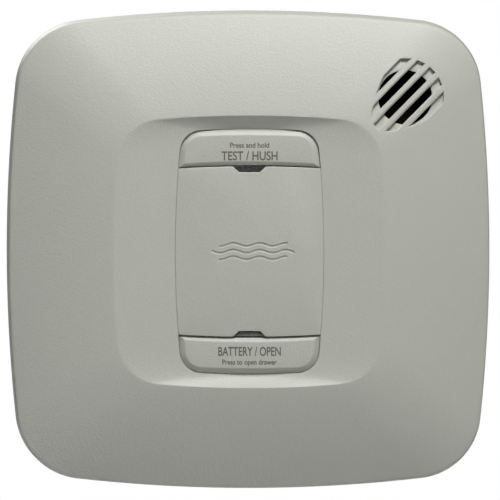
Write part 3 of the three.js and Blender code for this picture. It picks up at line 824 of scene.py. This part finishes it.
# ---- pieces that keep their CAD shape, with softened edges ----
def softened(node, body, material, slot_name, radius=0.2, sharp=35):
    """A copy of a CAD node with its flats merged and its sharp edges rounded."""
    bm = bmesh.new()
    bm.from_mesh(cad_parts[node].data)
    bmesh.ops.remove_doubles(bm, verts=bm.verts, dist=1e-6)
    bmesh.ops.dissolve_limit(bm, angle_limit=math.radians(1), verts=bm.verts, edges=bm.edges)
    piece = finished(bm, f"{node}_moulded", sharp)
    bevel = piece.modifiers.new("soft_edges", "BEVEL")
    bevel.width = radius * MM
    bevel.segments = 2
    bevel.limit_method = "ANGLE"
    bevel.angle_limit = math.radians(sharp)
    bevel.use_clamp_overlap = True
    return place(piece, body, material, slot_name, node)


# ---- battery --------------------------------------------------
def battery(material):
    low, high = span("battery")
    bm = bmesh.new()
    bar(bm, low, high)
    upright = [e for e in bm.edges if abs(e.verts[0].co.z - e.verts[1].co.z) > 0.01]
    bmesh.ops.bevel(bm, geom=upright, offset=2 * MM, segments=5, profile=0.5, affect="EDGES", material=-1)
    rounded(bm, 0.5, 3, 60)
    return place(finished(bm, "battery_jacket"), "battery_drawer", material, "battery_jacket", "battery")


def battery_terminal(name, node, socket, material):
    """A snap stud, or the petalled socket that is its mate."""
    low, high = span(node)
    middle = (low + high) / 2
    radius, height = (high.x - low.x) / 2, high.y - low.y
    bm = bmesh.new()
    if socket:
        profile = [(0, 0), (radius, 0), (radius, 0.4), (radius * 0.86, 0.7), (radius * 0.84, height),
                   (radius * 0.68, height), (radius * 0.66, 0.6), (0, 0.6)]
    else:
        profile = [(0, 0), (radius, 0), (radius, 0.3), (radius * 0.8, 0.5), (radius * 0.78, height * 0.6),
                   (radius * 0.86, height * 0.78), (radius * 0.7, height), (0, height)]
    lathe(bm, profile, 40)
    turned(bm, -math.pi / 2, "X")
    if min(vert.co.z for vert in bm.verts) < -1e-6:
        turned(bm, math.pi, "X")
    start = Vector((middle.x, -middle.z, low.y)) * MM
    moved(bm, start)
    return place(finished(bm, name), "battery_drawer", material, "plated_steel", node)


# ---- finishes: node trees written as expressions --------------
class Wire:
    """An output socket in a material, with arithmetic."""

    def __init__(self, finish, socket):
        self.finish = finish
        self.socket = socket

    def math(self, operation, first, second):
        return self.finish.node("ShaderNodeMath", {"operation": operation}, {0: first, 1: second})

    def __add__(self, other):
        return self.math("ADD", self, other)

    def __mul__(self, other):
        return self.math("MULTIPLY", self, other)

    def __sub__(self, other):
        return self.math("SUBTRACT", self, other)

    def __rsub__(self, other):
        return self.math("SUBTRACT", other, self)

    def __gt__(self, other):
        return self.math("GREATER_THAN", self, other)

    __radd__ = __add__
    __rmul__ = __mul__


class Finish:
    """One material: a Principled shader and the nodes that feed it."""

    def __init__(self, name, **constants):
        self.material = bpy.data.materials.new(name)
        self.material.use_nodes = True
        self.tree = self.material.node_tree
        self.shader = next(n for n in self.tree.nodes if n.type == "BSDF_PRINCIPLED")
        for socket, value in constants.items():
            self.shader.inputs[socket.replace("_", " ")].default_value = value
        self.place = self.node("ShaderNodeTexCoord", output="Object")

    def node(self, kind, settings=None, inputs=None, output=0):
        made = self.tree.nodes.new(kind)
        for setting, value in (settings or {}).items():
            setattr(made, setting, value)
        for socket, value in (inputs or {}).items():
            if isinstance(value, Wire):
                self.tree.links.new(value.socket, made.inputs[socket])
            else:
                made.inputs[socket].default_value = value
        return Wire(self, made.outputs[output])

    def feed(self, socket, wire):
        self.tree.links.new(wire.socket, self.shader.inputs[socket])

    def noise(self, grain, detail=2.0, roughness=0.5):
        """Noise between 0 and 1 whose features are about that many millimetres across."""
        sockets = {"Vector": self.place, "Scale": 1 / (grain * MM), "Detail": detail,
                   "Roughness": roughness}
        return self.node("ShaderNodeTexNoise", {"noise_dimensions": "3D"}, sockets)

    def mix(self, share, first, second):
        return self.node("ShaderNodeMix", {"data_type": "RGBA"}, {0: share, 6: first, 7: second}, 2)

    def bump(self, height, depth):
        """Relief of that depth in millimetres."""
        relief = {"Height": height, "Distance": depth * MM, "Strength": 1.0}
        normal = self.node("ShaderNodeBump", None, relief)
        self.feed("Normal", normal)


def tint(color, factor):
    return tuple(min(value * factor, 1) for value in color[:3]) + (1,)


def moulded_plastic(name, color, grain=0.8, relief=0.13, rough=0.46, mottle=0.05, specular=0.5):
    """Spark-eroded moulded plastic: fine pits, faint mottling and uneven sheen."""
    finish = Finish(name, Specular_IOR_Level=specular)
    pits = finish.noise(grain, 3, 0.62)
    cloud = finish.noise(22, 2)
    dust = finish.noise(grain * 0.5, 1)
    shade = pits * 0.5 + cloud * 0.3 + dust * 0.2
    finish.feed("Base Color", finish.mix(shade, tint(color, 1 - mottle), tint(color, 1 + mottle)))
    finish.feed("Roughness", rough - 0.06 + pits * 0.12)
    finish.bump(pits * 0.7 + dust * 0.3, relief)
    return finish.material


def glossy_plastic(name, color, rough=0.2, relief=0.004, **constants):
    finish = Finish(name, **constants)
    waves = finish.noise(3, 2)
    specks = finish.noise(0.5, 1)
    finish.feed("Base Color", finish.mix(waves, tint(color, 0.9), tint(color, 1.1)))
    finish.feed("Roughness", rough - 0.04 + specks * 0.08)
    finish.bump(waves, relief)
    return finish.material


def smoked_window(name, color, glint_color):
    """A dark polished window, with faint pale flecks painted into its colour as glints of light in the
    lens.
    """
    finish = Finish(name, Coat_Weight=0.6, Coat_Roughness=0.08)
    # painted glints: pale flecks of the glint colour mixed into the window's colour
    painted_glints = finish.noise(0.75, 2, 0.6) > 0.6
    depth = finish.noise(2.2, 2)
    base = finish.mix(depth, tint(color, 0.75), tint(color, 1.25))
    finish.feed("Base Color", finish.mix(painted_glints * 0.45, base, tint(glint_color, 1)))
    finish.feed("Roughness", 0.14 + depth * 0.1)
    finish.bump(depth, 0.01)
    return finish.material


def bare_metal(name, color, rough, grain, relief):
    """Metal with fine plated grain."""
    finish = Finish(name, Metallic=1.0)
    scratches = finish.noise(grain, 3, 0.6)
    cloud = finish.noise(4, 2)
    finish.feed("Base Color", finish.mix(cloud, tint(color, 0.88), tint(color, 1.08)))
    finish.feed("Roughness", rough - 0.08 + scratches * 0.16)
    finish.bump(scratches, relief)
    return finish.material


def board_laminate():
    """Green solder mask over a net of copper tracks, with pale tinned pads."""
    finish = Finish("board_laminate", Coat_Weight=0.3, Coat_Roughness=0.2)
    cells = {"Vector": finish.place, "Scale": 1 / (7 * MM)}
    net = {"feature": "DISTANCE_TO_EDGE", "distance": "MANHATTAN"}
    edges = finish.node("ShaderNodeTexVoronoi", net, cells)
    track = 1 - (edges > 0.07)
    points = {"Vector": finish.place, "Scale": 1 / (5 * MM)}
    pad = 1 - (finish.node("ShaderNodeTexVoronoi", {"feature": "F1"}, points) > 0.13)
    mask = finish.mix(track, (0.012, 0.085, 0.04, 1), (0.03, 0.17, 0.07, 1))
    finish.feed("Base Color", finish.mix(pad, mask, (0.6, 0.6, 0.56, 1)))
    finish.feed("Metallic", pad * 0.9)
    finish.feed("Roughness", 0.32 + pad * 0.1)
    finish.bump(track + pad, 0.035)
    return finish.material


def battery_wrap():
    """Black jacket with a copper-coloured band at the terminal end and a thin pale line."""
    finish = Finish("battery_wrap", Coat_Weight=0.4, Coat_Roughness=0.12)
    up = finish.node("ShaderNodeSeparateXYZ", None, {"Vector": finish.place}, "Z")
    top = span("battery")[1].y
    band = up > (top - 13) * MM
    line = (up > (top - 14.4) * MM) - (up > (top - 13.7) * MM)
    scuff = finish.noise(1.2, 3)
    wrap = finish.mix(band, (0.014, 0.015, 0.017, 1), (0.50, 0.22, 0.085, 1))
    wrap = finish.mix(line, wrap, (0.7, 0.68, 0.62, 1))
    finish.feed("Base Color", finish.mix(scuff * 0.12, wrap, (0.2, 0.2, 0.2, 1)))
    finish.feed("Metallic", band * 0.5)
    finish.feed("Roughness", 0.26 + scuff * 0.14)
    finish.bump(scuff, 0.01)
    return finish.material


def printed_ink():
    finish = Finish("printed_ink", Specular_IOR_Level=0.3)
    wear = finish.noise(0.35, 2)
    finish.feed("Base Color", finish.mix(wear * 0.6, (0.105, 0.1, 0.08, 1), (0.23, 0.225, 0.19, 1)))
    finish.feed("Roughness", 0.55 + wear * 0.1)
    finish.bump(wear, 0.006)
    return finish.material


def sounder_brass():
    """Tarnished dark brass at the rim, and a middle painted near-black as the shade deep in the horn
    chamber.
    """
    finish = Finish("sounder_brass", Specular_IOR_Level=0.15)
    shifted = finish.node("ShaderNodeVectorMath", {"operation": "SUBTRACT"},
                          {0: finish.place, 1: tuple(face(*GRILLE_AT, HORN_OUT - 13.4))})
    reach = finish.node("ShaderNodeVectorMath", {"operation": "LENGTH"}, {0: shifted}, "Value")
    rim = reach > 9.6 * MM
    rings = finish.noise(0.8, 3)
    # painted shade: inside the rim the disc's colour is near-black dark brown, standing for the chamber's
    # shade
    finish.feed("Base Color", finish.mix(rim, (0.012, 0.003, 0.002, 1), (0.3, 0.17, 0.06, 1)))
    finish.feed("Metallic", rim * 0.9)
    finish.feed("Roughness", 0.5 + rings * 0.15)
    finish.bump(rings, 0.01)
    return finish.material


def clear_epoxy(name, color):
    finish = Finish(name, Transmission_Weight=0.55, IOR=1.5, Coat_Weight=0.5)
    haze = finish.noise(1.0, 2)
    finish.feed("Base Color", finish.mix(haze, tint(color, 0.85), tint(color, 1.15)))
    finish.feed("Roughness", 0.08 + haze * 0.1)
    finish.bump(haze, 0.004)
    return finish.material


def floor_paint(name, color):
    finish = Finish(name)
    cloud = finish.noise(120, 2)
    finish.feed("Base Color", finish.mix(cloud, tint(color, 0.99), tint(color, 1.01)))
    finish.feed("Roughness", 0.8 + cloud * 0.1)
    return finish.material


# ---- stage, lights and camera ---------------------------------
def pale_floor():
    mesh = bpy.data.meshes.new("pale_floor")
    bm = bmesh.new()
    under = Matrix.Translation((0, 0, FLOOR_UP))
    bmesh.ops.create_grid(bm, x_segments=1, y_segments=1, size=3, matrix=under)
    bm.to_mesh(mesh)
    bm.free()
    mesh.materials.append(floor_paint("pale_floor", (0.8, 0.8, 0.79)))
    floor = bpy.data.objects.new("pale_floor", mesh)
    bpy.context.collection.objects.link(floor)


def soft_light(name, at, size, watts, spread=180, aim=(0, 0, 0)):
    lamp_data = bpy.data.lights.new(name, "AREA")
    lamp_data.shape = "DISK"
    lamp_data.size = size
    lamp_data.energy = watts
    light = bpy.data.objects.new(name, lamp_data)
    light.location = at
    light.rotation_euler = (Vector(aim) - Vector(at)).to_track_quat("-Z", "Y").to_euler()
    light.visible_camera = False
    lamp_data.spread = math.radians(spread)
    bpy.context.collection.objects.link(light)


def studio_air():
    """White behind the object, and a weak even light from all round."""
    world = bpy.data.worlds.new("studio_air")
    world.use_nodes = True
    tree = world.node_tree
    output = next(n for n in tree.nodes if n.type == "OUTPUT_WORLD")
    around = next(n for n in tree.nodes if n.type == "BACKGROUND")
    behind = tree.nodes.new("ShaderNodeBackground")
    for part, strength in ((around, AMBIENT), (behind, 1.0)):
        part.inputs["Color"].default_value = (1, 1, 1, 1)
        part.inputs["Strength"].default_value = strength
    path = tree.nodes.new("ShaderNodeLightPath")
    share = tree.nodes.new("ShaderNodeMixShader")
    tree.links.new(path.outputs["Is Camera Ray"], share.inputs[0])
    tree.links.new(around.outputs[0], share.inputs[1])
    tree.links.new(behind.outputs[0], share.inputs[2])
    tree.links.new(share.outputs[0], output.inputs["Surface"])
    bpy.context.scene.world = world


def camera_and_light():
    camera = bpy.data.cameras.new("camera")
    camera.lens = camera.sensor_width / 2 * CAMERA_REACH / HALF_VIEW
    camera.clip_end = 20
    holder = bpy.data.objects.new("camera", camera)
    aside, above = (math.radians(angle) for angle in CAMERA_TURN)
    reach = Vector((math.sin(aside) * math.cos(above), -math.cos(aside) * math.cos(above), math.sin(above)))
    holder.location = AIM_AT + reach * CAMERA_REACH
    holder.rotation_euler = (-reach).to_track_quat("-Z", "Y").to_euler()
    bpy.context.collection.objects.link(holder)
    bpy.context.scene.camera = holder
    bpy.context.scene.view_settings.view_transform = "Standard"
    soft_light("key_softbox", KEY_AT, 0.5, KEY_WATTS, KEY_SPREAD)
    soft_light("rear_softbox", REAR_AT, 0.8, REAR_WATTS)
    for quarter in range(4):
        turn = quarter * math.pi / 2
        x, y = WASH_REACH * math.sin(turn), -WASH_REACH * math.cos(turn)
        soft_light(f"floor_wash_{quarter}", (x, y, WASH_UP), 0.7, WASH_WATTS, 90, (x, y, FLOOR_UP))
    studio_air()
    pale_floor()


# ---- assembly -------------------------------------------------
# piece, words, capital height, width, baseline above the middle, body
PRINT = [
    ("test_print_small", "Press and hold", 1.6, 12.3, 32.6, "test_button"),
    ("test_print_large", "TEST / HUSH", 2.75, 17.6, 28.7, "test_button"),
    ("eject_print_large", "BATTERY / OPEN", 2.75, 19.6, -32.6, "eject_button"),
    ("eject_print_small", "Press to open drawer", 1.6, 17.1, -35.4, "eject_button"),
]

# CAD node, body, material, radius of its softened edges
CARRIED = [
    ("inner_frame", "alarm", "inner_plastic", 0.25),
    ("battery_tray", "battery_drawer", "inner_plastic", 0.25),
    ("latch_slide", "latch_slide", "inner_plastic", 0.25),
    ("test_switch", "alarm", "black_plastic", 0.25),
    ("switch_plunger", "switch_plunger", "switch_plastic", 0.2),
    ("inlet_housing", "alarm", "black_plastic", 0.3),
    ("microcontroller", "alarm", "black_plastic", 0.12),
    ("circuit_board", "alarm", "board_laminate", 0.15),
    ("filter_capacitor", "alarm", "yellow_plastic", 0.5),
    ("storage_capacitor", "alarm", "capacitor_sleeve", 0.4),
    ("varistor", "alarm", "varistor_coating", 0.6),
    ("co_sensor", "alarm", "plated_steel", 0.3),
    ("battery_contact_positive", "alarm", "spring_steel", 0.1),
    ("battery_contact_negative", "alarm", "spring_steel", 0.1),
]
CARRIED += [(f"inlet_pin_{n}", "alarm", "contact_brass", 0.2) for n in (1, 2, 3)]
CARRIED += [(f"{kind}_screw_{n}", "alarm", "plated_steel", 0.12)
            for kind in ("cover", "board") for n in (1, 2, 3, 4)]


def finishes():
    return {
        "cover_plastic": moulded_plastic("cover_plastic", COVER_COLOR),
        "housing_plastic": moulded_plastic("housing_plastic", HOUSING_COLOR, 0.7),
        "inner_plastic": moulded_plastic("inner_plastic", (0.46, 0.465, 0.43), 0.8, 0.03, 0.42),
        "black_plastic": moulded_plastic("black_plastic", (0.006, 0.006, 0.007), 0.5, 0.01, 0.42, 0.2,
                                         0.25),
        "switch_plastic": moulded_plastic("switch_plastic", (0.3, 0.31, 0.32), 0.4, 0.006, 0.35),
        "yellow_plastic": glossy_plastic("yellow_plastic", (0.72, 0.47, 0.04), 0.3),
        "capacitor_sleeve": glossy_plastic("capacitor_sleeve", (0.02, 0.03, 0.07), 0.24, Coat_Weight=0.3),
        "varistor_coating": glossy_plastic("varistor_coating", (0.03, 0.13, 0.38), 0.22, 0.02,
                                           Coat_Weight=0.4),
        # each window's second colour is its painted glints: pale highlight flecks in its colour
        "smoked_lens": smoked_window("smoked_lens", (0.035, 0.03, 0.026), (0.28, 0.27, 0.22)),
        "pale_lens": smoked_window("pale_lens", (0.2, 0.205, 0.19), (0.5, 0.54, 0.45)),
        "red_lamp": clear_epoxy("red_lamp", (0.5, 0.02, 0.01)),
        "green_lamp": clear_epoxy("green_lamp", (0.05, 0.4, 0.06)),
        "plated_steel": bare_metal("plated_steel", (0.62, 0.62, 0.6), 0.3, 0.5, 0.006),
        "spring_steel": bare_metal("spring_steel", (0.5, 0.5, 0.52), 0.28, 0.3, 0.004),
        "horn_brass": sounder_brass(),
        # black plastic of the horn chamber, made darker and duller than black_plastic: painted shade deep
        # inside the chamber
        "shade_darkened_black": moulded_plastic("shade_darkened_black", (0.002, 0.002, 0.002), 0.5, 0.01, 0.6, 0.2, 0.1),
        "contact_brass": bare_metal("contact_brass", (0.6, 0.44, 0.18), 0.28, 0.4, 0.004),
        "board_laminate": board_laminate(),
        "battery_jacket": battery_wrap(),
        "printed_ink": printed_ink(),
    }


def build():
    made = finishes()
    cover, housing = made["cover_plastic"], made["housing_plastic"]
    for maker in (front_cover, cover_bosses, battery_door, test_button, eject_button, horn_baffle):
        maker(cover)
    for maker in (rear_housing, housing_bosses, mounting_plate):
        maker(housing)
    # the horn chamber and collar take the black that is darkened with painted shade
    for maker in (horn_housing, horn_collar):
        maker(made["shade_darkened_black"])
    piezo_disc(made["horn_brass"])
    notch_lens("alarm_window", "alarm_lens", made["smoked_lens"], False)
    notch_lens("power_window", "power_lens", made["pale_lens"], True)
    lamp("alarm_lamp_dome", "alarm_lamp", made["red_lamp"], "red_lamp")
    lamp("power_lamp_dome", "power_lamp", made["green_lamp"], "green_lamp")
    battery(made["battery_jacket"])
    battery_terminal("battery_stud", "battery_terminal_positive", False, made["plated_steel"])
    battery_terminal("battery_socket", "battery_terminal_negative", True, made["plated_steel"])
    for name, words, height, width, baseline, body in PRINT:
        lettering(name, words, height, width, baseline, body, made["printed_ink"], "cover_plastic")
    for node, body, slot_name, radius in CARRIED:
        softened(node, body, made[slot_name], slot_name, radius)
    steel = made["spring_steel"]
    for side in ("left", "right"):
        coil(f"test_spring_{side}", f"test_button_spring_{side}", 2.1, 0.5, 3, "out", "alarm", steel,
             "test_press")
        coil(f"eject_spring_{side}", f"eject_button_spring_{side}", 2.1, 0.5, 3, "out", "alarm", steel,
             "eject_press")
    coil("latch_return_spring", "latch_spring", 1.65, 0.45, 5, "up", "alarm", steel, "latch_release")
    coil("drawer_ejector_spring", "ejector_spring", 5.8, 0.8, 1.5, "out", "alarm", steel)


camera_and_light()
build()
